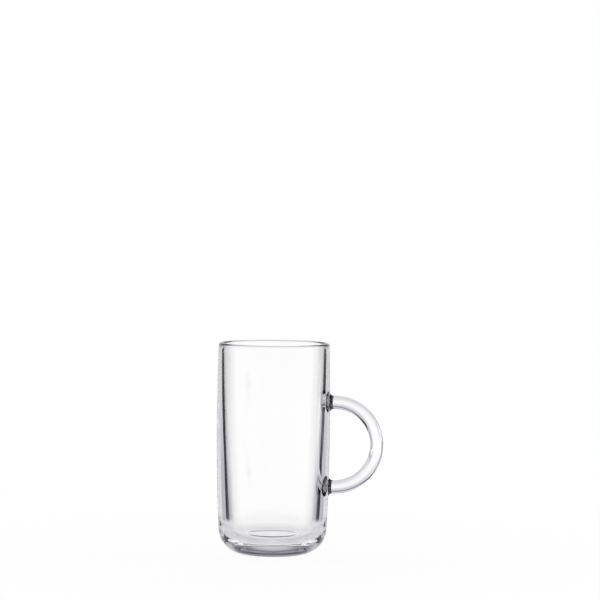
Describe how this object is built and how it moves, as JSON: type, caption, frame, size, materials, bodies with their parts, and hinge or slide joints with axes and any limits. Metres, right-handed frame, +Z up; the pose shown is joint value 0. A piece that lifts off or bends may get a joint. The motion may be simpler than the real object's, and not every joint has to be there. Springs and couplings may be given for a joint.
{
  "type": "glass coffee mug",
  "caption": "Tall, slightly barrelled clear-glass mug with a thick rounded base and a bent glass rod handle welded to its wall, for hot drinks such as coffee.",
  "frame": {"origin": "on the mug's axis, in the plane of the rest ring that it stands on", "axes": "+Z up along the mug's axis, +X towards the handle, +Y to the left of someone who looks along +X"},
  "size_m": [0.1031, 0.07, 0.13],
  "materials": {
    "body_glass": "clear pressed soda-lime glass, fire-polished",
    "handle_glass": "clear drawn glass rod, fire-polished"
  },
  "bodies": {
    "root": {"glass_body": "body_glass", "handle": "handle_glass"}
  },
  "joints": []
}
